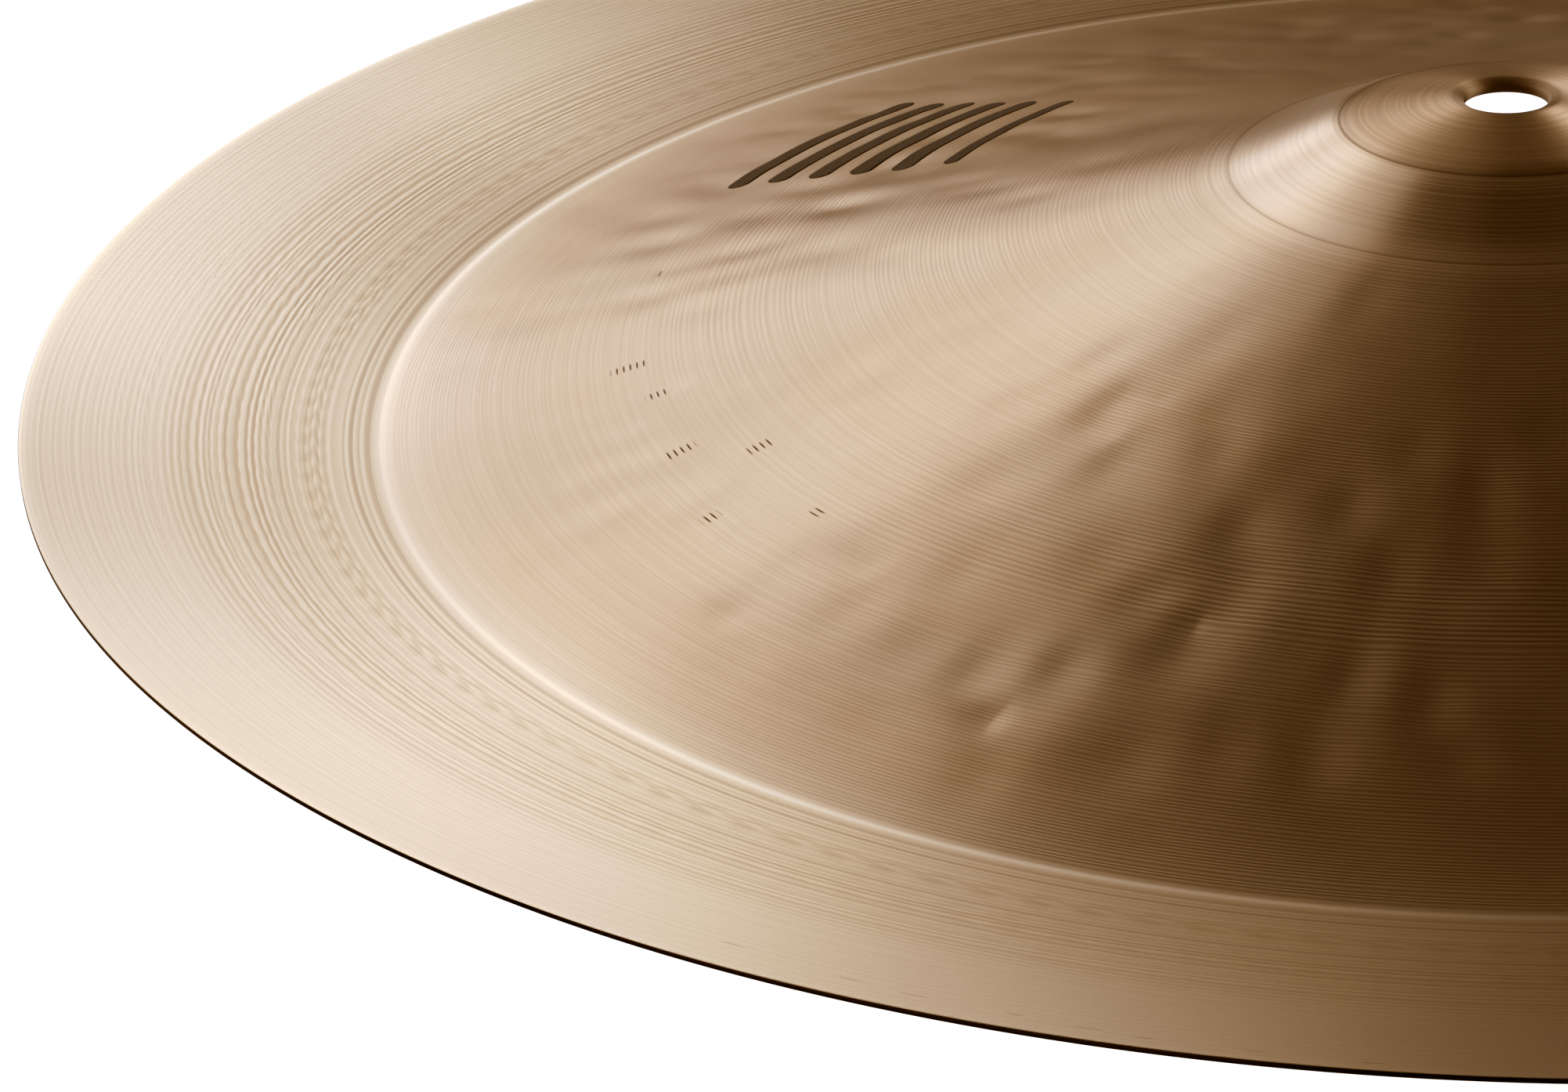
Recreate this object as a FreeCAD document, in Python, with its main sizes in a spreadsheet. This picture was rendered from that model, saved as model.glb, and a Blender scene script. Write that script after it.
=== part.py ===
import FreeCAD, Part
import os
import Sketcher
from FreeCAD import Placement, Rotation, Vector

# A 19 inch china-type cymbal, bell up, resting on the underside of its fold ring.
#
# Frame: millimetres, +Z up along the axis of symmetry, origin on the axis at the
# height of the lowest point. The bronze is one wall of revolution: from the axis
# outwards a dimpled lip round the mounting hole, a domed bell top, a shoulder and
# a flank, a conical bow that flattens towards its edge, a fold ring that is the
# lowest point, and a flange that turns up to the rim. The printed marks are thin plain
# bars of ink that lie face to face on the bow.

SIZES = [
    # alias, value, what it is
    ("hole_radius", 6.75, "mounting hole"),
    ("crest_radius", 9.6, "top of the dimpled lip round the hole"),
    ("shoulder_start", 25.0, "where the bell top starts to turn down"),
    ("shoulder_end", 31.0, "where the flank of the bell starts"),
    ("base_start", 38.0, "where the flank starts to flatten"),
    ("bell_radius", 45.0, "foot of the bell"),
    ("turn_radius", 165.0, "where the bow starts to flatten"),
    ("fold_start", 183.0, "inner side of the fold ring"),
    ("fold_end", 186.0, "outer side of the fold ring"),
    ("rim_radius", 241.3, "half of 19 inches"),
    ("hole_height", 44.70, "height of the upper face at the hole"),
    ("crest_height", 45.40, "height of the upper face at the lip"),
    ("shoulder_start_height", 42.27, "height of the upper face there"),
    ("shoulder_end_height", 40.03, "height of the upper face there"),
    ("base_start_height", 36.54, "height of the upper face there"),
    ("bell_height", 33.98, "height of the upper face at the foot of the bell"),
    ("turn_height", 4.73, "height of the upper face there"),
    ("fold_start_height", 0.98, "height of the upper face there"),
    ("fold_end_height", 0.98, "height of the upper face there"),
    ("rim_height", 12.95, "height of the upper face at the rim"),
    ("lip_bend", 3.87, "bend radius of the lip, convex"),
    ("dome_bend", 150.0, "bend radius of the bell top, convex"),
    ("shoulder_bend", 30.6, "bend radius of the shoulder, convex"),
    ("base_bend", 33.4, "bend radius at the foot of the bell, concave"),
    ("bow_bend", 270.0, "bend radius of the edge of the bow, concave"),
    ("fold_bend", 8.85, "bend radius of the fold ring, concave"),
    ("flange_bend", 620.0, "bend radius of the flange, concave"),
    ("bell_wall", 1.30, "upright thickness of the wall over the bell"),
    ("turn_wall", 0.88, "upright thickness where the bow starts to flatten"),
    ("fold_wall", 0.85, "upright thickness at the fold ring"),
    ("rim_wall", 0.80, "upright thickness at the rim"),
    ("ink_film", 0.05, "thickness of the printed ink"),
    ("mark_start_angle", 139.0, "first edge of the printed marks, from +X"),
    ("mark_sweep", 20.5, "angle that the printed marks cover"),
    ("mark_radius", 109.5, "inner edge of the first bar"),
    ("bar_width", 4.4, "radial width of a bar"),
    ("bar_pitch", 8.4, "radial step from bar to bar"),
    ("line_radius", 100.3, "inner edge of the thin line"),
    ("line_width", 3.0, "radial width of the thin line"),
    ("cutter_tall", 60.0, "height of the tool solids that trim the ink"),
]
VALUE = {alias: value for alias, value, _ in SIZES}
BAR_COUNT = 5

# The wall's stations from the hole to the rim: radius, height of the upper face,
# and upright thickness of the wall.
STATIONS = [
    ("hole_radius", "hole_height", "bell_wall"),
    ("crest_radius", "crest_height", "bell_wall"),
    ("shoulder_start", "shoulder_start_height", "bell_wall"),
    ("shoulder_end", "shoulder_end_height", "bell_wall"),
    ("base_start", "base_start_height", "bell_wall"),
    ("bell_radius", "bell_height", "bell_wall"),
    ("turn_radius", "turn_height", "turn_wall"),
    ("fold_start", "fold_start_height", "fold_wall"),
    ("fold_end", "fold_end_height", "fold_wall"),
    ("rim_radius", "rim_height", "rim_wall"),
]
# The bend between each station and the next: its radius, and which way it bulges.
CONVEX, CONCAVE, STRAIGHT = 1, -1, 0
BENDS = [
    ("lip_bend", CONVEX),
    ("dome_bend", CONVEX),
    ("shoulder_bend", CONVEX),
    (None, STRAIGHT),
    ("base_bend", CONCAVE),
    (None, STRAIGHT),
    ("bow_bend", CONCAVE),
    ("fold_bend", CONCAVE),
    ("flange_bend", CONCAVE),
]
BELL_STATION, FOLD_STATION = 5, 7

START, END = 1, 2
ROOT_POINT = (-1, 1)


def make_sheet(doc):
    """The driving dimensions, one row each, with an alias."""
    sheet = doc.addObject("Spreadsheet::Sheet", "Sizes")
    for row, (alias, value, meaning) in enumerate(SIZES, start=1):
        sheet.set(f"A{row}", meaning)
        sheet.set(f"B{row}", str(value))
        sheet.setAlias(f"B{row}", alias)
    return sheet


def arc_between(left, right, radius, bulge):
    """The arc of a circle from left to right that bulges up or down."""
    chord = right - left
    middle = (left + right) * 0.5
    upright = Vector(-chord.y, chord.x, 0).normalize()
    reach = (radius ** 2 - (chord.Length / 2) ** 2) ** 0.5
    centre = middle - upright * reach * bulge
    crown = centre + upright * radius * bulge
    return Part.Arc(left, crown, right)


def pin_point(sketch, edge, end, radius_rule, height_rule):
    """Fix a sketch point's distance from the axis and its height."""
    point = sketch.getPoint(edge, end)
    for kind, amount, rule in (("DistanceX", point.x, radius_rule),
                               ("DistanceY", point.y, height_rule)):
        index = sketch.addConstraint(
            Sketcher.Constraint(kind, *ROOT_POINT, edge, end, amount))
        sketch.setExpression(f"Constraints[{index}]", rule)


def draw_face(sketch, first, last, heights, rules):
    """Draw one face of the wall from station first to station last.

    heights holds the numbers and rules the expressions, station by station.
    Returns the sketch points (edge, end) of the two ends.
    """
    ends = []
    for step in range(first, last):
        radius_name, bulge = BENDS[step]
        left = Vector(VALUE[STATIONS[step][0]], heights[step], 0)
        right = Vector(VALUE[STATIONS[step + 1][0]], heights[step + 1], 0)
        if bulge == STRAIGHT:
            edge = sketch.addGeometry(Part.LineSegment(left, right))
        else:
            arc = arc_between(left, right, VALUE[radius_name], bulge)
            edge = sketch.addGeometry(arc)
            index = sketch.addConstraint(
                Sketcher.Constraint("Radius", edge, VALUE[radius_name]))
            sketch.setExpression(f"Constraints[{index}]", f"Sizes.{radius_name}")
        # a sketch stores every arc anticlockwise, so a convex one starts at its right end
        near, far = (END, START) if bulge == CONVEX else (START, END)
        if ends:
            sketch.addConstraint(Sketcher.Constraint("Coincident", *ends[-1], edge, near))
        else:
            pin_point(sketch, edge, near, f"Sizes.{STATIONS[step][0]}", rules[step])
            ends.append((edge, near))
        pin_point(sketch, edge, far, f"Sizes.{STATIONS[step + 1][0]}", rules[step + 1])
        ends.append((edge, far))
    return ends[0], ends[-1]


def close_face(sketch, upper_end, lower_end):
    """Join the two faces with a straight edge."""
    edge = sketch.addGeometry(Part.LineSegment(
        sketch.getPoint(*upper_end), sketch.getPoint(*lower_end)))
    sketch.addConstraint(Sketcher.Constraint("Coincident", edge, START, *upper_end))
    sketch.addConstraint(Sketcher.Constraint("Coincident", edge, END, *lower_end))


def draw_band(sketch, first, last, low_rules, high_rules, low_heights, high_heights):
    """A closed outline between a lower and a higher face."""
    low_ends = draw_face(sketch, first, last, low_heights, low_rules)
    high_ends = draw_face(sketch, first, last, high_heights, high_rules)
    for high_end, low_end in zip(high_ends, low_ends):
        close_face(sketch, high_end, low_end)


def make_bronze(doc):
    """The cymbal: one wall of revolution with its mounting hole."""
    body = doc.addObject("PartDesign::Body", "bronze_cymbal")
    body.Label = "bronze_cymbal"
    planes = {feature.Role: feature for feature in body.Origin.OriginFeatures}
    sketch = body.newObject("Sketcher::SketchObject", "wall_section")
    sketch.AttachmentSupport = [(planes["XZ_Plane"], "")]
    sketch.MapMode = "FlatFace"
    upper = [VALUE[height] for _, height, _ in STATIONS]
    lower = [VALUE[height] - VALUE[wall] for _, height, wall in STATIONS]
    upper_rules = [f"Sizes.{height}" for _, height, _ in STATIONS]
    lower_rules = [f"Sizes.{height} - Sizes.{wall}" for _, height, wall in STATIONS]
    draw_band(sketch, 0, len(STATIONS) - 1, lower_rules, upper_rules, lower, upper)
    doc.recompute()
    turn = body.newObject("PartDesign::Revolution", "wall")
    turn.Profile = sketch
    turn.ReferenceAxis = (sketch, ["V_Axis"])
    turn.Angle = 360.0
    body.Tip = turn
    body.Placement = Placement()
    return body


def make_ink_layer(doc):
    """A film of ink over the whole bow, which each printed mark is cut from."""
    sketch = doc.addObject("Sketcher::SketchObject", "ink_section")
    sketch.Placement = Placement(Vector(), Rotation(Vector(1, 0, 0), 90))
    lower = [VALUE[height] for _, height, _ in STATIONS]
    upper = [height + VALUE["ink_film"] for height in lower]
    lower_rules = [f"Sizes.{height}" for _, height, _ in STATIONS]
    upper_rules = [f"{rule} + Sizes.ink_film" for rule in lower_rules]
    draw_band(sketch, BELL_STATION, FOLD_STATION, lower_rules, upper_rules, lower, upper)
    layer = doc.addObject("Part::Revolution", "ink_layer")
    layer.Source = sketch
    layer.Axis = Vector(0, 0, 1)
    layer.Base = Vector()
    layer.Angle = 360.0
    layer.Solid = True
    return layer


def make_mark(doc, layer, name, inner_rule, outer_rule):
    """One printed bar: the part of the ink layer inside a sector of a ring."""
    outer = doc.addObject("Part::Cylinder", f"{name}_outer")
    outer.setExpression("Radius", outer_rule)
    outer.setExpression("Angle", "Sizes.mark_sweep")
    outer.setExpression("Height", "Sizes.cutter_tall")
    outer.Placement = Placement(Vector(), Rotation(Vector(0, 0, 1), VALUE["mark_start_angle"]))
    outer.setExpression("Placement.Rotation.Angle", "Sizes.mark_start_angle")
    inner = doc.addObject("Part::Cylinder", f"{name}_inner")
    inner.setExpression("Radius", inner_rule)
    inner.setExpression("Height", "Sizes.cutter_tall")
    sector = doc.addObject("Part::Cut", f"{name}_sector")
    sector.Base = outer
    sector.Tool = inner
    mark = doc.addObject("Part::Common", name)
    mark.Base = layer
    mark.Tool = sector
    mark.Label = name
    mark.Placement = Placement()
    return mark


def make_marks(doc):
    """The concentric bars, and the thin line between them and the bell."""
    layer = make_ink_layer(doc)
    marks = []
    for number in range(1, BAR_COUNT + 1):
        inner_rule = f"Sizes.mark_radius + {number - 1} * Sizes.bar_pitch"
        outer_rule = f"{inner_rule} + Sizes.bar_width"
        marks.append(make_mark(doc, layer, f"ink_bar_{number}", inner_rule, outer_rule))
    marks.append(make_mark(doc, layer, "ink_line", "Sizes.line_radius",
                           "Sizes.line_radius + Sizes.line_width"))
    return marks


def check(doc, pieces):
    """Stop if any object failed or any piece is not one valid solid."""
    for item in doc.Objects:
        if {"Invalid", "Error"} & set(item.State):
            raise RuntimeError(f"{item.Name} failed: {item.State}")
    for piece in pieces:
        shape = piece.Shape
        if shape.isNull() or not shape.isValid() or len(shape.Solids) != 1:
            raise RuntimeError(f"{piece.Label} is not one valid solid")


def main():
    doc = FreeCAD.newDocument("china_cymbal")
    make_sheet(doc)
    doc.recompute()
    pieces = [make_bronze(doc)] + make_marks(doc)
    doc.recompute()
    check(doc, pieces)
    os.makedirs("parts", exist_ok=True)
    for piece in pieces:
        piece.Shape.exportStep(f"parts/{piece.Label}.step")
        box = piece.Shape.BoundBox
        print(f"{piece.Label}: {piece.Shape.Volume:.2f} mm3,"
              f" x {box.XMin:.2f}..{box.XMax:.2f}, y {box.YMin:.2f}..{box.YMax:.2f},"
              f" z {box.ZMin:.3f}..{box.ZMax:.3f}")


main()
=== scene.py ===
import math

import bpy
import numpy as np
from mathutils import Matrix, Vector


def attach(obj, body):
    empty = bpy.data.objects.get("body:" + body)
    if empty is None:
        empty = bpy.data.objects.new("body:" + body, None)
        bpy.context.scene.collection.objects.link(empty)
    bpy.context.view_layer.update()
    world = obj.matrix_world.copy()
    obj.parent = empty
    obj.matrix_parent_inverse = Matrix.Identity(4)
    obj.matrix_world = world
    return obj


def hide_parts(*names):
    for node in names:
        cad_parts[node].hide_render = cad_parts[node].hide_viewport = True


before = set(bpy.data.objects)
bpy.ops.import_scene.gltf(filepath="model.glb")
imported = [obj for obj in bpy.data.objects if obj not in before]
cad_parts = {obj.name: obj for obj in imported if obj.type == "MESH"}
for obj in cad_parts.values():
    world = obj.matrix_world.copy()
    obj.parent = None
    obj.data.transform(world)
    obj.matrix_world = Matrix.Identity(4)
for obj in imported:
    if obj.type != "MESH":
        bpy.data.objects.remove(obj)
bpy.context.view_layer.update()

# A 19 inch china-type cymbal, bell up. Lengths in the tables below are millimetres, as in
# the CAD model; everything handed to Blender is metres. Angles are degrees, turning from +X
# towards +Y.
MM = 0.001
FULL_TURN = 2 * math.pi

# ---------------------------------------------------------------- the wall

# The wall's stations from the hole to the rim, as in the CAD model:
# radius, height of the upper face, upright thickness.
STATIONS = [
    (6.75, 44.70, 1.30),
    (9.6, 45.40, 1.30),
    (25.0, 42.27, 1.30),
    (31.0, 40.03, 1.30),
    (38.0, 36.54, 1.30),
    (45.0, 33.98, 1.30),
    (165.0, 4.73, 0.88),
    (183.0, 0.98, 0.85),
    (186.0, 0.98, 0.85),
    (241.3, 12.95, 0.80),
]
# The bend from each station to the next: positive bulges up, negative sags, 0 is straight.
BENDS = [3.87, 150.0, 30.6, 0, -33.4, 0, -270.0, -8.85, -620.0]

# How far from the axis these lie: the hole, its lip, the shoulder and the foot of the bell, the
# fold ring and the rim.
HOLE, LIP, SHOULDER, FOOT, FOLD, RIM = 6.75, 9.6, 27.0, 44.6, 184.5, 241.3
EASED_EDGE = 0.12

# How far apart the rings of the mesh are: up to this radius, this spacing.
UPPER_RINGS = [(10.5, 0.5), (25.0, 1.8), (28.0, 0.3), (43.5, 1.2), (45.7, 0.3), (60, 1.8),
               (172, 2.2), (182, 1.2), (187.5, 0.32), (200, 1.2), (203, 0.4), (238.8, 1.6),
               (RIM - EASED_EDGE, 0.5)]
LOWER_RINGS = [(10.5, 1.1), (25.0, 3.6), (31.5, 1.6), (45.5, 2.2), (60, 4.0), (182, 6.0),
               (187.5, 0.9), (RIM - EASED_EDGE, 4.5)]
SPOKES = 408


def arc_height(radius, left, right, bend):
    """Height on the arc or straight line from left to right, both (radius, height)."""
    (r0, h0), (r1, h1) = left, right
    if bend == 0:
        return h0 + (h1 - h0) * (radius - r0) / (r1 - r0)
    chord = math.hypot(r1 - r0, h1 - h0)
    reach = math.sqrt(bend ** 2 - (chord / 2) ** 2)
    side = math.copysign(1, bend)
    centre_r = (r0 + r1) / 2 + (h1 - h0) / chord * reach * side
    centre_h = (h0 + h1) / 2 - (r1 - r0) / chord * reach * side
    return centre_h + side * np.sqrt(bend ** 2 - (radius - centre_r) ** 2)


def face_height(radius, lower=False):
    """Height of the upper or the lower face of the wall at an array of radii."""
    radius = np.asarray(radius, float)
    height = np.zeros_like(radius)
    for (r0, h0, t0), (r1, h1, t1), bend in zip(STATIONS, STATIONS[1:], BENDS):
        here = (radius >= r0 - 1e-9) & (radius <= r1 + 1e-9)
        left = (r0, h0 - t0 * lower)
        right = (r1, h1 - t1 * lower)
        height[here] = arc_height(radius[here], left, right, bend)
    return height


# ---------------------------------------------------------------- hammering

# Rows of hammer marks: radius, spacing round the row, deepest mark.
HAMMER_ROWS = [(62, 12, 0.10), (74, 12, 0.16), (86, 12, 0.22), (98, 13, 0.28),
               (110, 13, 0.30), (122, 14, 0.32), (134, 14, 0.34), (146, 15, 0.34),
               (158, 15, 0.30), (169, 16, 0.16)]
# Single marks in the places where the photo shows them: angle, radius, depth.
PLACED_MARKS = [(244.4, 159.0, 0.08), (226.0, 158.3, 0.06), (229.4, 139.0, 0.10),
                (261.6, 141.0, 0.12), (251.6, 132.8, 0.10), (233.8, 98.0, 0.08),
                (224.8, 97.5, 0.07), (245.0, 96.8, 0.06), (235.2, 88.5, 0.07),
                (242.3, 89.0, 0.07)]
# How far a mark spreads along the radius and across it, in the rows and in the placed ones.
MARK_ALONG, MARK_ACROSS = 4.2, 3.0
PLACED_ALONG, PLACED_ACROSS = 3.4, 2.2
HAMMER_SEED = 19
# How much the marks of a row vary: place round the row (parts of a spacing), radius (mm), and
# the shares of the full depth, length and width.
AROUND_JITTER, RADIUS_JITTER = 0.38, 6
DEPTH_SHARES, ALONG_SHARES, ACROSS_SHARES = (0.15, 1.0), (0.7, 1.5), (0.75, 1.5)

# The slow warp that hammering leaves in the bow and the flange: height in mm, waves in a turn,
# phase, and the radius over which the wave twists by one radian.
BOW_WAVES = [(0.10, 3, 0.6, math.inf), (0.07, 7, 0.0, 23)]
FLANGE_WAVES = [(0.16, 2, 1.1, math.inf), (0.09, 5, -0.4, math.inf), (0.05, 11, 2.0, math.inf)]


def angle_gap(angle, other):
    """The signed turn from other to angle, in radians, between minus and plus half a turn."""
    return (angle - other + math.pi) % FULL_TURN - math.pi


def mark_depth(angle, radius, place, depth, along, across):
    """Depth below the smooth wall of one mark, longer along the radius than across it."""
    place_angle, place_radius = place
    aside = angle_gap(angle, place_angle) * place_radius / across
    out = (radius - place_radius) / along
    return depth * np.exp(-0.5 * (aside ** 2 + out ** 2))


def smooth_step(low, high, value):
    """0 at low and 1 at high with a smooth change between; low may be the larger of the two."""
    part = np.clip((value - low) / (high - low), 0, 1)
    return part * part * (3 - 2 * part)


def hammering(angle, radius):
    """How far the hammered wall lies below the smooth one, in mm, at polar places."""
    rng = np.random.default_rng(HAMMER_SEED)
    depth = np.zeros_like(radius)
    for row_radius, spacing, deepest in HAMMER_ROWS:
        count = round(FULL_TURN * row_radius / spacing)
        for number in range(count):
            around = number + rng.uniform(-AROUND_JITTER, AROUND_JITTER)
            place_angle = around / count * FULL_TURN
            place_radius = row_radius + rng.uniform(-RADIUS_JITTER, RADIUS_JITTER)
            strength = deepest * rng.uniform(*DEPTH_SHARES)
            along = MARK_ALONG * rng.uniform(*ALONG_SHARES)
            across = MARK_ACROSS * rng.uniform(*ACROSS_SHARES)
            near = np.abs(radius - place_radius) < 4 * along
            depth[near] += mark_depth(angle[near], radius[near], (place_angle, place_radius),
                                      strength, along, across)
    for place_angle, place_radius, strength in PLACED_MARKS:
        place = (math.radians(place_angle), place_radius)
        depth += mark_depth(angle, radius, place, strength, PLACED_ALONG, PLACED_ACROSS)
    return depth


def wave_sum(waves, angle, radius):
    """The height of several waves that run round the cymbal, added up."""
    return sum(high * np.sin(turns * angle + phase + radius / twist)
               for high, turns, phase, twist in waves)


def waviness(angle, radius):
    """The slow warp of the bow and the flange that hammering leaves, in mm upwards."""
    bow = smooth_step(50, 90, radius) * smooth_step(FOLD, 160, radius)
    flange = smooth_step(FOLD + 4, RIM, radius)
    return wave_sum(BOW_WAVES, angle, radius) * bow + wave_sum(FLANGE_WAVES, angle, radius) * flange


# ---------------------------------------------------------------- cut grooves

# Grooves deep enough to be cut into the mesh: radius, half-width, depth.
DEEP_GROOVES = [(SHOULDER, 0.45, 0.06), (FOOT, 0.45, 0.06), (FOLD + 2.0, 0.45, 0.05),
                (201.4, 0.8, 0.03)]
# The outermost part of the flange is rolled over a little by the lathe.
ROLL_START, ROLL_DROP = 239.2, 0.14


def deep_grooves(radius):
    """How far the cut grooves lie below the wall, in mm."""
    depth = np.zeros_like(radius)
    for place, half_width, deepest in DEEP_GROOVES:
        depth += deepest * np.exp(-((radius - place) / half_width) ** 2)
    return depth


def upper_face(angle, radius):
    """Height of the finished upper face, in mm: the smooth wall, hammered and grooved."""
    roll = ROLL_DROP * (np.clip(radius - ROLL_START, 0, None) / (RIM - ROLL_START)) ** 2
    return (face_height(radius) - hammering(angle, radius) - deep_grooves(radius)
            + waviness(angle, radius) - roll)


def lower_face(angle, radius):
    """Height of the finished lower face, which follows the same hammering."""
    return face_height(radius, lower=True) - hammering(angle, radius) + waviness(angle, radius)


# ---------------------------------------------------------------- meshes

def spaced_rings(plan):
    """Radii from the eased edge of the hole outwards, following a plan of (up to, spacing)."""
    radii = []
    at = HOLE + EASED_EDGE
    for limit, spacing in plan:
        count = max(1, round((limit - at) / spacing))
        radii += list(np.linspace(at, limit, count, endpoint=False))
        at = limit
    return np.array(radii + [at])


def polar_rows(radii, height_of):
    """Points of whole rings, row by row, in mm."""
    angles = np.linspace(0, FULL_TURN, SPOKES, endpoint=False)
    angle, radius = np.meshgrid(angles, radii)
    return np.stack([radius * np.cos(angle), radius * np.sin(angle), height_of(angle, radius)], -1)


# Where the faces lie in the layout that the finish is baked in: u runs once round the
# cymbal, v runs outwards over the upper face and then back over the lower one.
LOWER_SPAN, UPPER_SPAN = (0.01, 0.19), (0.21, 0.99)
EDGE_STRIP = 0.002
BAKE_LAYER = "OFBake"


def add_layout(mesh, rows_v):
    """Unroll the polar mesh into a rectangle: one column per spoke, one line per ring."""
    layer = mesh.uv_layers.new(name=BAKE_LAYER)
    count = len(rows_v)
    corners = np.zeros((count, SPOKES, 4, 2))
    left = np.arange(SPOKES) / SPOKES
    right = (np.arange(SPOKES) + 1) / SPOKES
    for row in range(count):
        here, below = rows_v[row]
        corners[row, :, :, 0] = np.stack([left, left, right, right], -1)
        corners[row, :, :, 1] = (here, below, below, here)
    layer.data.foreach_set("uv", corners.ravel())


def bronze_mesh():
    """The whole wall as one closed mesh with smooth faces and the unrolled layout."""
    upper_radii = spaced_rings(UPPER_RINGS)
    lower_radii = spaced_rings(LOWER_RINGS)[::-1]
    upper = polar_rows(upper_radii, upper_face)
    lower = polar_rows(lower_radii, lower_face)
    rim = polar_rows([RIM, RIM], upper_face)
    rim[0, :, 2] -= EASED_EDGE
    rim[1, :, 2] -= STATIONS[-1][2] - EASED_EDGE
    hole = polar_rows([HOLE, HOLE], upper_face)
    hole[0, :, 2] -= STATIONS[0][2] - EASED_EDGE
    hole[1, :, 2] -= EASED_EDGE
    places = np.concatenate([upper, rim, lower, hole]) * MM
    count = len(places)
    faces = []
    for row in range(count):
        below = (row + 1) % count
        for col in range(SPOKES):
            right = (col + 1) % SPOKES
            faces.append((row * SPOKES + col, below * SPOKES + col,
                          below * SPOKES + right, row * SPOKES + right))
    mesh = bpy.data.meshes.new("bronze_shell")
    mesh.from_pydata(places.reshape(-1, 3).tolist(), [], faces)
    mesh.shade_smooth()
    add_layout(mesh, layout_rows(upper_radii, lower_radii))
    return mesh


def layout_rows(upper_radii, lower_radii):
    """The v of each row of faces at its own ring and at the next ring."""
    upper_v = np.interp(upper_radii, [HOLE, RIM], UPPER_SPAN)
    lower_v = np.interp(lower_radii, [HOLE, RIM], LOWER_SPAN)
    past_rim = [upper_v[-1] + step * EDGE_STRIP for step in range(3)]
    past_hole = [lower_v[-1] - step * EDGE_STRIP for step in range(3)]
    rows = list(zip(upper_v, upper_v[1:]))
    rows += list(zip(past_rim, past_rim[1:]))
    rows.append((lower_v[0] + EDGE_STRIP, lower_v[0]))
    rows += list(zip(lower_v, lower_v[1:]))
    rows += list(zip(past_hole, past_hole[1:]))
    rows.append((upper_v[0] - EDGE_STRIP, upper_v[0]))
    return rows


# ---------------------------------------------------------------- material graphs

class Graph:
    """A short way to write shader nodes: every call returns an output socket."""

    def __init__(self, tree):
        self.tree = tree

    def node(self, kind, **settings):
        node = self.tree.nodes.new(kind)
        for name, value in settings.items():
            setattr(node, name, value)
        return node

    def feed(self, socket, value):
        if isinstance(value, bpy.types.NodeSocket):
            self.tree.links.new(value, socket)
        else:
            socket.default_value = value

    def math(self, operation, *values):
        node = self.node("ShaderNodeMath", operation=operation)
        for socket, value in zip(node.inputs, values):
            self.feed(socket, value)
        return node.outputs[0]

    def between(self, value, low, high, start=0.0, end=1.0):
        """A smooth ramp from start to end as value goes from low to high."""
        node = self.node("ShaderNodeMapRange", interpolation_type="SMOOTHSTEP")
        for socket, item in zip(node.inputs, (value, low, high, start, end)):
            self.feed(socket, item)
        return node.outputs[0]

    def band(self, value, low, high, soft):
        """1 between low and high, fading to 0 over soft on each side."""
        rise = self.between(value, low - soft, low + soft)
        fall = self.between(value, high - soft, high + soft, 1.0, 0.0)
        return self.math("MULTIPLY", rise, fall)

    def total(self, values):
        result = values[0]
        for value in values[1:]:
            result = self.math("ADD", result, value)
        return result

    def line_noise(self, along, scale, detail=2.0):
        """Noise that changes along one coordinate only, from 0 to 1."""
        node = self.node("ShaderNodeTexNoise", noise_dimensions="1D")
        self.feed(node.inputs["W"], along)
        self.feed(node.inputs["Scale"], scale)
        self.feed(node.inputs["Detail"], detail)
        return node.outputs["Fac"]

    def plane_noise(self, first, second, scale, detail=2.0):
        """Noise over two coordinates, from 0 to 1."""
        join = self.node("ShaderNodeCombineXYZ")
        self.feed(join.inputs[0], first)
        self.feed(join.inputs[1], second)
        node = self.node("ShaderNodeTexNoise", noise_dimensions="2D")
        self.feed(node.inputs["Vector"], join.outputs[0])
        self.feed(node.inputs["Scale"], scale)
        self.feed(node.inputs["Detail"], detail)
        return node.outputs["Fac"]

    def levels(self, value, stops, span):
        """Look a value up in a table of (value, level), with straight lines between."""
        node = self.node("ShaderNodeValToRGB")
        self.feed(node.inputs["Fac"], self.math("DIVIDE", value, span))
        ramp = node.color_ramp
        ramp.elements[0].position = stops[0][0] / span
        ramp.elements[1].position = stops[-1][0] / span
        for element, stop in ((ramp.elements[0], stops[0]), (ramp.elements[1], stops[-1])):
            element.color = (stop[1],) * 3 + (1,)
        for place, level in stops[1:-1]:
            ramp.elements.new(place / span).color = (level,) * 3 + (1,)
        return node.outputs["Color"]

    def mix(self, factor, first, second):
        node = self.node("ShaderNodeMix", data_type="RGBA")
        self.feed(node.inputs["Factor"], factor)
        self.feed(node.inputs["A"], first)
        self.feed(node.inputs["B"], second)
        return node.outputs["Result"]

    def polar(self):
        """Distance from the axis in mm, and angle in radians."""
        place = self.node("ShaderNodeTexCoord").outputs["Object"]
        flat = self.node("ShaderNodeVectorMath", operation="MULTIPLY")
        self.feed(flat.inputs[0], place)
        self.feed(flat.inputs[1], (1 / MM, 1 / MM, 0))
        length = self.node("ShaderNodeVectorMath", operation="LENGTH")
        self.feed(length.inputs[0], flat.outputs[0])
        parts = self.node("ShaderNodeSeparateXYZ")
        self.feed(parts.inputs[0], flat.outputs[0])
        return length.outputs["Value"], self.math("ARCTAN2", parts.outputs[1], parts.outputs[0])


# ---------------------------------------------------------------- bronze

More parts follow.
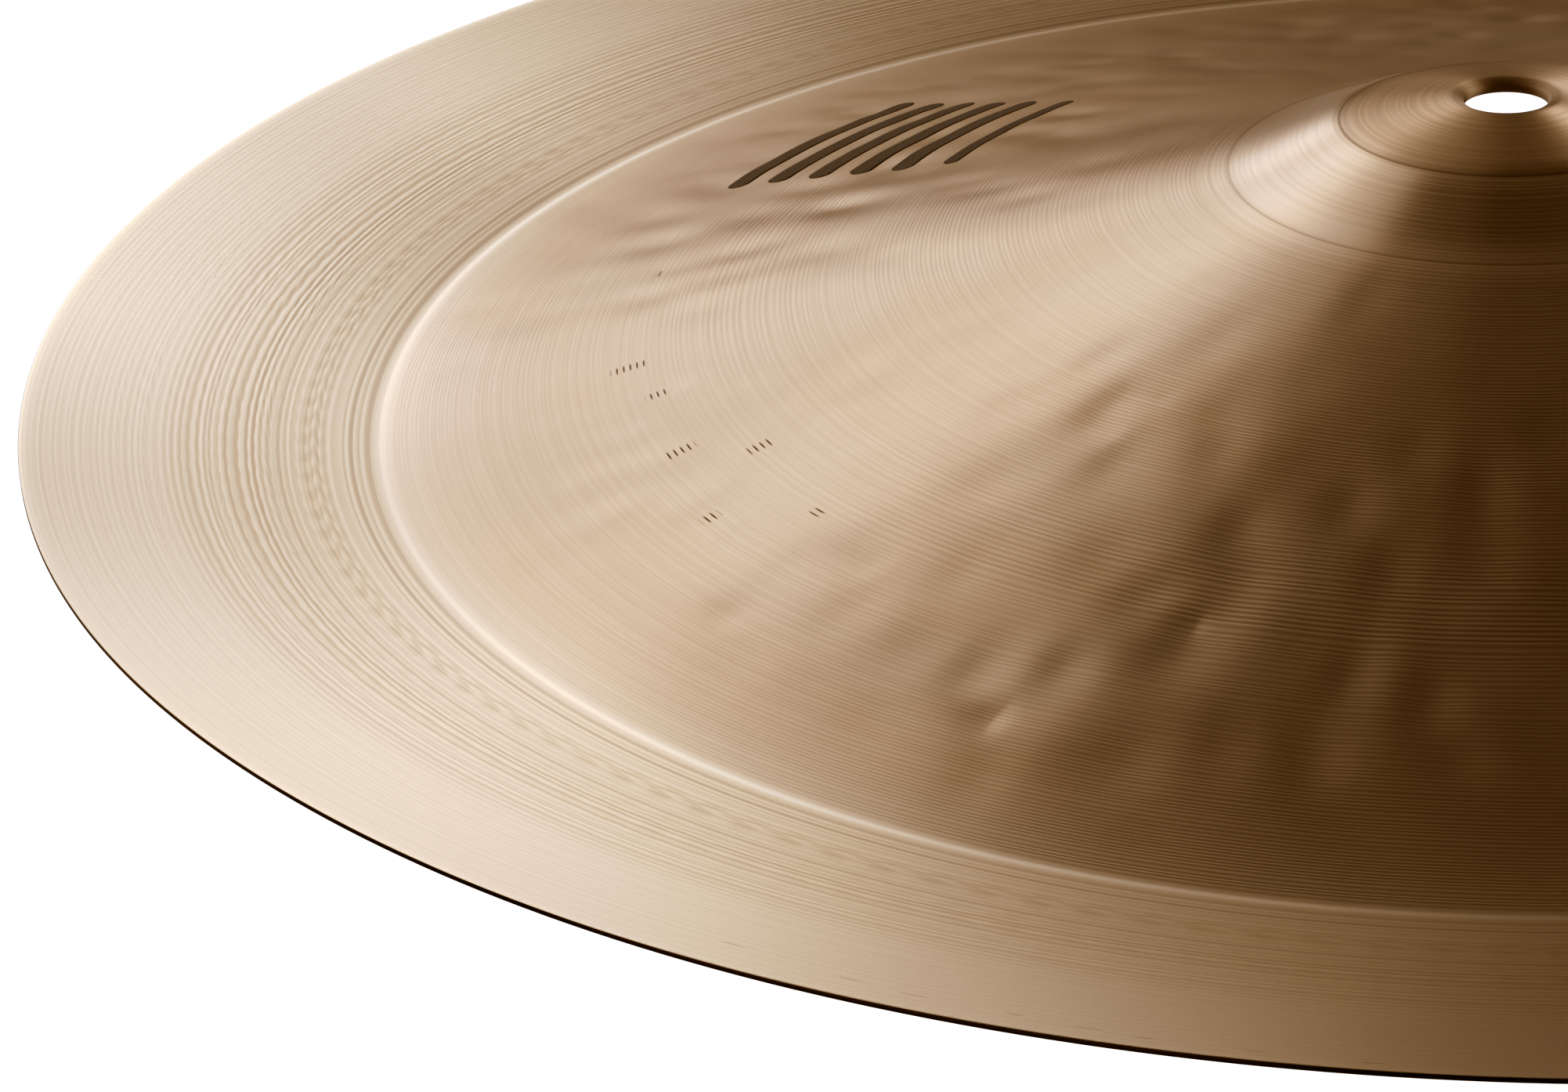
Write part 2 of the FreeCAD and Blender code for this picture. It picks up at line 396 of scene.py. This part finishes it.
# The distance from one lathe groove to the next, by radius.
GROOVE_PITCHES = [(0, 0.95), (50, 0.95), (65, 0.80), (86, 0.82), (90, 0.75), (103, 0.79),
                  (111, 0.87), (119, 1.04), (133, 1.12), (141, 0.93), (156, 0.85), (172, 0.66),
                  (182, 0.68), (187, 1.25), (197, 1.30), (209, 1.34), (212, 1.20), (220, 1.22),
                  (233, 1.10), (RIM, 0.86)]
# How deep the regular lathe grooves are, by radius, from 0 to 1.
GROOVE_DEPTHS = [(0, 0.1), (24, 0.15), (34, 0.22), (44, 0.25), (48, 0.5), (60, 0.5),
                 (70, 0.55), (84, 0.7), (90, 0.8), (102, 0.6), (111, 0.5), (119, 0.9),
                 (130, 1.0), (136, 0.5), (152, 0.35), (162, 0.55), (172, 0.5),
                 (182, 0.55), (184, 0.05), (186, 0.05), (187, 0.22), (191, 0.22), (196, 0.35),
                 (201, 0.4), (205, 0.7), (209, 0.6), (211, 0.3), (214, 0.45), (217, 0.45),
                 (219, 0.2), (RIM, 0.12)]
# How much painted shade darkens the bottoms of the grooves, by radius, from 0 to 1.
PAINTED_GROOVE_SHADES = [(0, 0.10), (44, 0.04), (170, 0.04), (182, 0.08), (184, 0.0), (186, 0.1),
                 (186.6, 0.4), (190, 0.3), (193, 0.35), (203, 0.45), (205, 0.7), (209, 0.7),
                 (211, 0.35), (213.5, 0.5), (217.5, 0.5), (219.5, 0.12), (RIM, 0.12)]
# How strong the tool's chatter is: short ripples round the flange.
CHATTER_STRENGTH = [(0, 0.0), (190, 0.0), (193.5, 0.3), (194.5, 1.0), (197.5, 0.9), (200, 0.3),
                    (202, 0.9), (206, 0.7), (209, 0.5), (210.5, 1.0), (213, 0.8), (217.5, 0.4),
                    (220, 0.6), (226, 0.5), (229, 0.1), (241, 0.0)]
# How much painted shade darkens the crests of the chatter, by radius, from 0 to 1.
PAINTED_CHATTER_SHADES = [(0, 0), (193.5, 0), (194.5, 0.18), (197.3, 0.18), (198.3, 0), (202, 0),
                  (203, 0.06), (207, 0.06), (208.5, 0), (RIM, 0)]
# How dark the painted shade of the irregular streaks round the cymbal is, by radius, from 0 to 1.
PAINTED_STREAK_SHADES = [(0, 0.18), (24, 0.18), (30, 0.12), (48, 0.12), (60, 0.08), (182, 0.08),
                 (187, 0.16), (210, 0.16), (222, 0.07), (RIM, 0.07)]
# How deep the irregular scratches between the grooves are, by radius, from 0 to 1.
SCRATCH_DEPTHS = [(0, 0.9), (44, 0.9), (52, 0.4), (FOLD, 0.3), (200, 0.4), (RIM, 0.3)]
# How many changes in a millimetre of radius the noises make that place the streaks and the
# scratches, let the grooves drift and shift the chatter.
STREAK_SCALE, SCRATCH_SCALE, DRIFT_SCALE, SHIFT_SCALE = 1.1, 2.3, 0.25, 0.30
# Painted shade along the lines scribed into the bell and beside the fold ring: radius, half-width,
# darkness.
SCRIBED_LINE_SHADES = [(SHOULDER - 0.3, 0.22, 0.45), (FOOT, 0.25, 0.28), (FOLD + 2.1, 0.25, 0.2),
                 (189.5, 0.3, 0.15), (201.0, 0.2, 0.15)]
GROOVE_DEPTH = 0.03
# How far the grooves stray from even spacing, and how far the chatter shakes them, both in
# radians of their wave.
GROOVE_DRIFT, GROOVE_SHAKE = 9.0, 0.4
CHATTER_DEPTH = 0.004
# Chatter ripples in a turn, and how far they shift from ring to ring, in radians.
CHATTERS, CHATTER_SHIFT = 164.0, 26.0
# The shader's roughness by radius, which sets how far the reflections are smeared.
ROUGHNESS = [(0, 0.90), (23, 0.88), (28, 0.38), (42, 0.38), (50, 0.46), (165, 0.45),
             (183.6, 0.41), (184.1, 0.31), (185.2, 0.31), (185.8, 0.38), (195, 0.36),
             (205, 0.34), (RIM, 0.31)]
# Short rows of ticks where the tool skipped: angle, radius, length of the row.
TOOL_SKIPS = [(192.6, 143.5, 6.0), (198.1, 140.0, 4.0), (207.2, 141.5, 5.0),
              (211.2, 131.5, 4.0), (216.5, 146.0, 3.0), (221.9, 135.0, 1.5),
              (176.7, 142.5, 1.2)]
# The distance between the ticks of a row, and their length and depth.
TICK_PITCH, TICK_LENGTH, TICK_DEPTH = 1.1, 2.2, 0.02
# Thin dark nicks along the grooves near the rim: angle, radius, length.
NICKS = [(246.5, 233.6, 3.0), (250.8, 235.4, 2.4), (253.0, 236.2, 3.4), (256.2, 236.4, 2.0),
         (258.5, 237.2, 3.0), (260.2, 238.0, 1.8), (263.4, 238.2, 2.2), (266.8, 238.9, 2.6)]
NICK_WIDTH, NICK_DARKNESS = 0.2, 0.45
# Small dents with one steep wall: angle, radius, size, depth.
SMALL_DENTS = [(226.0, 158.3, 1.4, 0.20), (244.4, 159.0, 1.5, 0.26), (229.4, 139.0, 1.4, 0.14),
               (233.8, 98.0, 1.3, 0.10), (251.6, 132.8, 1.3, 0.12), (235.2, 88.5, 1.3, 0.10)]
# How many times longer the opposite wall of a small dent is than its steep wall.
DENT_RUN = 3.5

# The tarnish changes from patch to patch between two tints. The noise that places the patches
# is looked up at the angle times the first value and at the radius over the second.
PATCHES_AROUND, PATCH_RADIUS, PATCH_SCALE = 1.3, 60.0, 1.5
BODY_TINT = (0.86, 0.69, 0.53, 1)
BODY_WARM = (0.86, 0.675, 0.51, 1)
# Painted light: the bell top and the flange are the same bronze as the bow, made lighter where they
# catch more light.
BELL_LIT_TINT = (0.95, 0.765, 0.59, 1)
FLANGE_LIT_TINT = (0.94, 0.776, 0.59, 1)
# The dark tint of the painted shade in the groove bottoms, on the chatter crests and along the
# streaks.
GROOVE_SHADE_TINT = (0.40, 0.28, 0.17, 1)
SKIP_TINT = (0.04, 0.025, 0.015, 1)
# Painted shade in the scribed lines, at the lip of the hole and on the cut edge of the rim.
PAINTED_SHADE_TINT = (0.035, 0.02, 0.012, 1)
LIP_WIDTH, LIP_SHADE = 1.5, 0.4
EDGE_SHADE = (0.12, 0.02)
# Where the painted highlight along the fold ring lies, from the fold inwards and outwards.
RING_INSIDE, RING_OUTSIDE, RING_FADE = 0.6, 0.5, 0.3
RING_HIGHLIGHT_TINT = (0.93, 0.78, 0.61, 1)


def groove_count(radius):
    """How many grooves lie between the axis and a radius."""
    places = np.linspace(0, RIM, 4000)
    pitches = np.interp(places, *zip(*GROOVE_PITCHES))
    counts = np.cumsum(1 / pitches) * (places[1] - places[0])
    return float(np.interp(radius, places, counts))


def groove_waves(graph, radius, chatter):
    """Regular lathe grooves, shaken a little by the chatter, from -1 to 1."""
    total = groove_count(RIM)
    stops = [(place, groove_count(place) / total) for place, _ in GROOVE_PITCHES]
    turns = graph.math("MULTIPLY", graph.levels(radius, stops, RIM), total * FULL_TURN)
    drift = graph.math("MULTIPLY", graph.line_noise(radius, DRIFT_SCALE, 1.0), GROOVE_DRIFT)
    shake = graph.math("MULTIPLY", chatter, GROOVE_SHAKE)
    return graph.math("SINE", graph.total([turns, drift, shake]))


def chatter_waves(graph, radius, angle):
    """Short ripples round the flange that shift from ring to ring, from -1 to 1."""
    shift = graph.math("MULTIPLY", graph.line_noise(radius, SHIFT_SCALE, 1.0), CHATTER_SHIFT)
    turns = graph.math("MULTIPLY", angle, CHATTERS)
    wave = graph.math("SINE", graph.math("ADD", turns, shift))
    patch = graph.between(graph.line_noise(graph.math("MULTIPLY", angle, 5.0), 1.0, 2.0),
                          0.3, 0.7, 0.5, 1.1)
    strength = graph.levels(radius, CHATTER_STRENGTH, RIM)
    return graph.math("MULTIPLY", graph.math("MULTIPLY", wave, patch), strength)


def centre_angle(degrees):
    """An angle as the shader gives it: in radians, between minus and plus half a turn."""
    return math.remainder(math.radians(degrees), FULL_TURN)


def skip_mask(graph, radius, angle):
    """1 on the ticks that the tool left, 0 elsewhere."""
    masks = []
    for place_angle, place_radius, length in TOOL_SKIPS:
        centre = centre_angle(place_angle)
        half_turn = TICK_LENGTH / 2 / place_radius
        aside = graph.band(angle, centre - half_turn, centre + half_turn, half_turn * 0.6)
        out = graph.band(radius, place_radius - length / 2, place_radius + length / 2, 0.3)
        masks.append(graph.math("MULTIPLY", aside, out))
    cut = graph.math("SINE", graph.math("MULTIPLY", radius, FULL_TURN / TICK_PITCH))
    lines = graph.between(cut, 0.55, 0.95)
    return graph.math("MULTIPLY", graph.total(masks), lines)


def nick_mask(graph, radius, angle):
    """1 on the nicks along the grooves, 0 elsewhere."""
    masks = []
    for place_angle, place_radius, length in NICKS:
        centre = centre_angle(place_angle)
        half_turn = length / 2 / place_radius
        aside = graph.band(angle, centre - half_turn, centre + half_turn, half_turn * 0.5)
        out = graph.band(radius, place_radius - NICK_WIDTH / 2, place_radius + NICK_WIDTH / 2,
                         NICK_WIDTH / 2)
        masks.append(graph.math("MULTIPLY", aside, out))
    return graph.total(masks)


def small_dents(graph, radius, angle):
    """How far the small dents lie below the wall, in mm."""
    depths = []
    for place_angle, place_radius, size, deepest in SMALL_DENTS:
        centre = centre_angle(place_angle)
        gap = graph.math("MULTIPLY", graph.math("SUBTRACT", angle, centre), place_radius / size)
        aside = graph.math("MAXIMUM", gap, graph.math("DIVIDE", gap, -DENT_RUN))
        out = graph.math("DIVIDE", graph.math("SUBTRACT", radius, place_radius), size * 1.5)
        spread = graph.math("ADD", graph.math("MULTIPLY", aside, aside),
                            graph.math("MULTIPLY", out, out))
        bell = graph.math("EXPONENT", graph.math("MULTIPLY", spread, -0.5))
        depths.append(graph.math("MULTIPLY", bell, deepest))
    return graph.total(depths)


def bronze_height(graph, radius, angle, waves, chatter, skips):
    """The fine relief of the surface, in mm."""
    grooves = graph.math("MULTIPLY", waves, graph.levels(radius, GROOVE_DEPTHS, RIM))
    scratches = graph.math("SUBTRACT", graph.line_noise(radius, SCRATCH_SCALE, 3.0), 0.5)
    scratches = graph.math("MULTIPLY", scratches, graph.levels(radius, SCRATCH_DEPTHS, RIM))
    return graph.total([graph.math("MULTIPLY", grooves, GROOVE_DEPTH),
                        graph.math("MULTIPLY", chatter, CHATTER_DEPTH),
                        graph.math("MULTIPLY", scratches, GROOVE_DEPTH),
                        graph.math("MULTIPLY", skips, -TICK_DEPTH),
                        graph.math("MULTIPLY", small_dents(graph, radius, angle), -1.0)])


def bronze_tint(graph, radius, angle, waves, chatter, skips):
    """The colour of the metal: tarnish, ticks and nicks, with painted light: a lighter bell top and
    flange, painted shade in groove bottoms, chatter, streaks, scribed lines, lip and rim edge, and
    a painted highlight on the fold ring.
    """
    patches = graph.plane_noise(graph.math("MULTIPLY", angle, PATCHES_AROUND),
                                graph.math("DIVIDE", radius, PATCH_RADIUS), PATCH_SCALE, 3.0)
    tint = graph.mix(graph.between(patches, 0.35, 0.65), BODY_TINT, BODY_WARM)
    # painted light: lighter copies of the bronze on the bell top and on the flange
    tint = graph.mix(graph.between(radius, SHOULDER - 2, SHOULDER + 1, 1.0, 0.0), tint, BELL_LIT_TINT)
    tint = graph.mix(graph.between(radius, FOLD - 12, FOLD + 6), tint, FLANGE_LIT_TINT)
    # painted shade in the bottoms of the grooves
    bottom = graph.between(waves, 0.1, -0.9)
    shade = graph.math("MULTIPLY", bottom, graph.levels(radius, PAINTED_GROOVE_SHADES, RIM))
    tint = graph.mix(graph.math("MULTIPLY", shade, 0.5), tint, GROOVE_SHADE_TINT)
    # painted shade on the crests of the chatter
    ripple_shade = graph.math("MULTIPLY", graph.between(chatter, -0.7, 0.7),
                        graph.levels(radius, PAINTED_CHATTER_SHADES, RIM))
    tint = graph.mix(ripple_shade, tint, GROOVE_SHADE_TINT)
    # painted shade along irregular streaks, standing in for the dark lines that the grooves' slopes
    # give
    streak_shade = graph.between(graph.line_noise(radius, STREAK_SCALE, 3.0), 0.35, 0.65, 1.0, 0.0)
    streak_shade = graph.math("MULTIPLY", streak_shade, graph.levels(radius, PAINTED_STREAK_SHADES, RIM))
    tint = graph.mix(streak_shade, tint, GROOVE_SHADE_TINT)
    # painted highlight along the fold ring
    ring = graph.band(radius, FOLD - RING_INSIDE, FOLD + RING_OUTSIDE, RING_FADE)
    tint = graph.mix(ring, tint, RING_HIGHLIGHT_TINT)
    # painted shade in the scribed lines
    for place, half_width, darkness in SCRIBED_LINE_SHADES:
        line = graph.band(radius, place - half_width, place + half_width, half_width * 0.7)
        tint = graph.mix(graph.math("MULTIPLY", line, darkness), tint, PAINTED_SHADE_TINT)
    # painted shade at the lip of the hole
    lip = graph.between(radius, LIP - LIP_WIDTH, LIP, LIP_SHADE, 0.0)
    tint = graph.mix(lip, tint, PAINTED_SHADE_TINT)
    # painted shade on the cut edge of the rim
    edge = graph.between(radius, RIM - EDGE_SHADE[0], RIM - EDGE_SHADE[1])
    tint = graph.mix(edge, tint, PAINTED_SHADE_TINT)
    nicks = graph.math("MULTIPLY", nick_mask(graph, radius, angle), NICK_DARKNESS)
    return graph.mix(graph.math("MAXIMUM", skips, nicks), tint, SKIP_TINT)


def bronze_material():
    material = bpy.data.materials.new("lathed_bronze")
    material.use_nodes = True
    graph = Graph(material.node_tree)
    shader = material.node_tree.nodes["Principled BSDF"]
    radius, angle = graph.polar()
    chatter = chatter_waves(graph, radius, angle)
    waves = groove_waves(graph, radius, chatter)
    skips = skip_mask(graph, radius, angle)
    finish = (graph, radius, angle, waves, chatter, skips)
    bump = graph.node("ShaderNodeBump")
    graph.feed(bump.inputs["Distance"], MM)
    graph.feed(bump.inputs["Height"], bronze_height(*finish))

    shader.inputs["Metallic"].default_value = 1.0
    # the grooves run round the cymbal, so they smear what it reflects along the radius
    shader.inputs["Anisotropic"].default_value = 1.0
    shader.inputs["Anisotropic Rotation"].default_value = 0.25
    graph.feed(shader.inputs["Base Color"], bronze_tint(*finish))
    graph.feed(shader.inputs["Roughness"], graph.levels(radius, ROUGHNESS, RIM))
    graph.feed(shader.inputs["Normal"], bump.outputs["Normal"])
    tangent = graph.node("ShaderNodeTangent", direction_type="RADIAL", axis="Z")
    graph.feed(shader.inputs["Tangent"], tangent.outputs["Tangent"])
    return material


def make_bronze():
    shell = bpy.data.objects.new("bronze_shell", bronze_mesh())
    bpy.context.scene.collection.objects.link(shell)
    shell.data.materials.append(bronze_material())
    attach(shell, "root")
    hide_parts("bronze_cymbal")


# ---------------------------------------------------------------- printed ink

# Plain bars in place of the lettering: where they start and how far they reach round the axis,
# then how many there are, and the inner radius, width and distance of the bars and the line.
MARK_START, MARK_SWEEP = 139.0, 20.5
BAR_COUNT, BAR_RADIUS, BAR_WIDTH, BAR_PITCH = 5, 109.5, 4.4, 8.4
LINE_RADIUS, LINE_WIDTH = 100.3, 3.0
INK_FILM = 0.05
INK_THIN, INK_THICK = (0.018, 0.017, 0.018, 1), (0.008, 0.008, 0.010, 1)
INK_STEPS_ALONG, INK_STEPS_ACROSS = 96, 6


def ink_outline(inner, width):
    """Angles and radii of a bar with round ends, as a grid of points."""
    middle = inner + width / 2
    half_sweep = math.radians(MARK_SWEEP) / 2
    centre = math.radians(MARK_START) + half_sweep
    reach = half_sweep * middle
    # stations crowd towards the round ends
    along = reach * np.sin(np.linspace(-math.pi / 2, math.pi / 2, INK_STEPS_ALONG + 1))
    past = np.clip(np.abs(along) - (reach - width / 2), 0, width / 2)
    half = np.sqrt(np.clip((width / 2) ** 2 - past ** 2, (0.02 * width) ** 2, None))
    across = np.linspace(-1, 1, INK_STEPS_ACROSS + 1)
    radius = middle + half[:, None] * across[None, :]
    angle = centre + (along / middle)[:, None] * np.ones_like(across)[None, :]
    return angle, radius


def ink_mesh(name, inner, width):
    """A closed film that follows the hammered bow."""
    angle, radius = ink_outline(inner, width)
    height = upper_face(angle, radius)
    flat = np.stack([radius * np.cos(angle), radius * np.sin(angle)], -1)
    top = np.concatenate([flat, (height + INK_FILM)[..., None]], -1).reshape(-1, 3)
    bottom = np.concatenate([flat, (height - INK_FILM / 2)[..., None]], -1).reshape(-1, 3)
    long, wide = angle.shape
    shift = long * wide
    faces = []
    for i in range(long - 1):
        for j in range(wide - 1):
            a, b = i * wide + j, (i + 1) * wide + j
            faces.append((a, a + 1, b + 1, b))
            faces.append((shift + a, shift + b, shift + b + 1, shift + a + 1))
    # once round the outside of the grid
    edge = [i * wide for i in range(long)]
    edge += [(long - 1) * wide + j for j in range(1, wide)]
    edge += [i * wide + wide - 1 for i in range(long - 2, -1, -1)]
    edge += [j for j in range(wide - 2, 0, -1)]
    for a, b in zip(edge, edge[1:] + edge[:1]):
        faces.append((a, b, shift + b, shift + a))
    mesh = bpy.data.meshes.new(name)
    mesh.from_pydata((np.concatenate([top, bottom]) * MM).tolist(), [], faces)
    mesh.shade_smooth()
    return mesh


def ink_material():
    material = bpy.data.materials.new("printed_ink")
    material.use_nodes = True
    graph = Graph(material.node_tree)
    shader = material.node_tree.nodes["Principled BSDF"]
    radius, angle = graph.polar()
    around = graph.math("MULTIPLY", angle, 130.0)
    cover = graph.plane_noise(radius, around, 2.2, 3.0)
    ink = graph.mix(graph.between(cover, 0.3, 0.8), INK_THICK, INK_THIN)
    bump = graph.node("ShaderNodeBump")
    waves = graph.math("MULTIPLY", groove_waves(graph, radius, 0.0), GROOVE_DEPTH * 0.5)
    graph.feed(bump.inputs["Distance"], MM)
    graph.feed(bump.inputs["Height"], waves)
    shader.inputs["Specular IOR Level"].default_value = 0.15
    graph.feed(shader.inputs["Base Color"], ink)
    graph.feed(shader.inputs["Roughness"], graph.between(cover, 0.3, 0.8, 0.45, 0.62))
    graph.feed(shader.inputs["Normal"], bump.outputs["Normal"])
    return material


def make_ink():
    material = ink_material()
    bars = [(f"ink_bar_{number}", BAR_RADIUS + (number - 1) * BAR_PITCH, BAR_WIDTH)
            for number in range(1, BAR_COUNT + 1)]
    bars.append(("ink_line", LINE_RADIUS, LINE_WIDTH))
    for node, inner, width in bars:
        piece = bpy.data.objects.new(node + "_print", ink_mesh(node + "_print", inner, width))
        bpy.context.scene.collection.objects.link(piece)
        piece.data.materials.append(material)
        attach(piece, "root")
        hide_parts(node)


# ---------------------------------------------------------------- stage

# Large soft panels of light a long way off: compass angle, elevation, half-width,
# half-height, softness of the edge (degrees), brightness.
PANELS = {
    "right_low": (5, 2, 21, 10, 7, 10.2),
    "right_wide": (37, -2, 46, 6, 7, 2.3),
    "far_high": (103, 30, 10, 6, 7, 2.4),
    "far_wide": (98, 41, 26, 8, 7, 0.45),
    "far_low": (111, 14, 10, 7, 7, 1.95),
    "far_horizon": (76, 3, 22, 6, 7, 1.35),
    "far_left": (148, 27, 26, 35, 7, 1.0),
    "left_low": (232, -4, 24, 6, 7, 1.7),
}
# The softness of a panel's upper and lower edges, as a share of that at its sides.
RISE_SHARE = 0.6
SKY_GLOW, FLOOR_GLOW = 0.015, 0.08


def make_world():
    """The studio: soft panels on a dark surround, as seen by the metal."""
    world = bpy.data.worlds.new("studio")
    world.use_nodes = True
    graph = Graph(world.node_tree)
    background = world.node_tree.nodes["Background"]
    parts = graph.node("ShaderNodeSeparateXYZ")
    graph.feed(parts.inputs[0], graph.node("ShaderNodeTexCoord").outputs["Generated"])
    compass = graph.math("ARCTAN2", parts.outputs[1], parts.outputs[0])
    elevation = graph.math("ARCSINE", parts.outputs[2])
    lights = [graph.between(parts.outputs[2], -0.02, 0.02, FLOOR_GLOW, SKY_GLOW)]
    for place, high, half_width, half_height, soft, brightness in PANELS.values():
        turn = graph.math("SUBTRACT", compass, math.radians(place))
        turn = graph.math("WRAP", turn, math.pi, -math.pi)
        aside = graph.math("DEGREES", graph.math("ABSOLUTE", turn))
        rise = graph.math("DEGREES", graph.math("SUBTRACT", elevation, math.radians(high)))
        rise = graph.math("ABSOLUTE", rise)
        wide = graph.between(aside, half_width - soft, half_width + soft, brightness, 0.0)
        fade = soft * RISE_SHARE
        tall = graph.between(rise, half_height - fade, half_height + fade, 1.0, 0.0)
        lights.append(graph.math("MULTIPLY", wide, tall))
    graph.feed(background.inputs["Strength"], graph.total(lights))
    background.inputs["Color"].default_value = (1, 1, 1, 1)
    bpy.context.scene.world = world


# The camera of the photograph, in the cymbal's frame. Its aim is given as turns, in radians,
# from looking level along +Y: to the right, up, and clockwise.
CAMERA_PLACE = Vector((0.0, -0.6855, 0.2924))
CAMERA_YAW, CAMERA_PITCH, CAMERA_ROLL = -0.17585, -0.44184, -0.05888
SENSOR_WIDTH = 36.0
CAMERA_LENS = 102.45


def make_camera():
    camera = bpy.data.cameras.new("camera")
    camera.sensor_width = SENSOR_WIDTH
    camera.sensor_fit = "HORIZONTAL"
    camera.lens = CAMERA_LENS
    camera.clip_start = 0.01
    holder = bpy.data.objects.new("camera", camera)
    yaw, pitch, roll = CAMERA_YAW, CAMERA_PITCH, CAMERA_ROLL
    ahead = Vector((math.sin(yaw) * math.cos(pitch), math.cos(yaw) * math.cos(pitch),
                    math.sin(pitch)))
    level = Vector((math.cos(yaw), -math.sin(yaw), 0))
    upward = level.cross(ahead)
    right = level * math.cos(roll) + upward * math.sin(roll)
    up = upward * math.cos(roll) - level * math.sin(roll)
    turn = Matrix((right, up, -ahead)).transposed().to_4x4()
    holder.matrix_world = Matrix.Translation(CAMERA_PLACE) @ turn
    bpy.context.scene.collection.objects.link(holder)
    bpy.context.scene.camera = holder


# The white floor and the white dome over it, in metres, and how bright they look.
FLOOR_SIZE, FLOOR_WHITE = 12.0, 1.05
DOME_RINGS, DOME_SPOKES, DOME_DROP = 8, 24, 0.01


def white_material():
    material = bpy.data.materials.new("white_floor")
    material.use_nodes = True
    shader = material.node_tree.nodes["Principled BSDF"]
    shader.inputs["Base Color"].default_value = (0, 0, 0, 1)
    shader.inputs["Emission Color"].default_value = (1, 1, 1, 1)
    shader.inputs["Emission Strength"].default_value = FLOOR_WHITE
    return material


def add_white(name, places, faces, material):
    """A white stage piece that only the camera sees: it neither lights nor shades."""
    mesh = bpy.data.meshes.new(name)
    mesh.from_pydata(places, [], faces)
    mesh.materials.append(material)
    piece = bpy.data.objects.new(name, mesh)
    bpy.context.scene.collection.objects.link(piece)
    piece.visible_glossy = False
    piece.visible_diffuse = False
    piece.visible_shadow = False


def make_floor():
    """A plain pale floor and a dome over it, both plain white to the camera."""
    material = white_material()
    half = FLOOR_SIZE / 2
    corners = [(-half, -half, 0), (half, -half, 0), (half, half, 0), (-half, half, 0)]
    add_white("floor", corners, [(0, 1, 2, 3)], material)
    places = []
    for ring in range(DOME_RINGS + 1):
        lift = math.pi / 2 * ring / DOME_RINGS
        for spoke in range(DOME_SPOKES):
            turn = FULL_TURN * spoke / DOME_SPOKES
            places.append((half * math.cos(lift) * math.cos(turn),
                           half * math.cos(lift) * math.sin(turn),
                           half * math.sin(lift) - DOME_DROP))
    faces = []
    for ring in range(DOME_RINGS):
        for spoke in range(DOME_SPOKES):
            a = ring * DOME_SPOKES + spoke
            b = ring * DOME_SPOKES + (spoke + 1) % DOME_SPOKES
            faces.append((a, b, b + DOME_SPOKES, a + DOME_SPOKES))
    add_white("backdrop", places, faces, material)


# The print of the photograph: its shadows are much browner than its lights. Each colour's
# curve is given as (level in, level out).
GREEN_CURVE = [(0, 0), (0.024, 0.0107), (0.08, 0.047), (0.2, 0.146), (0.4, 0.355), (0.6, 0.61),
               (0.75, 0.775), (1, 1)]
BLUE_CURVE = [(0, 0), (0.024, 0.0024), (0.068, 0.0175), (0.149, 0.068), (0.269, 0.194),
              (0.393, 0.366), (0.513, 0.568), (1, 1)]


def set_print():
    view = bpy.context.scene.view_settings
    view.view_transform = "Standard"
    view.use_curve_mapping = True
    for curve, points in ((view.curve_mapping.curves[1], GREEN_CURVE),
                          (view.curve_mapping.curves[2], BLUE_CURVE)):
        for level_in, level_out in points[1:-1]:
            curve.points.new(level_in, level_out)
    view.curve_mapping.update()


make_camera()
make_world()
make_floor()
make_bronze()
make_ink()
set_print()
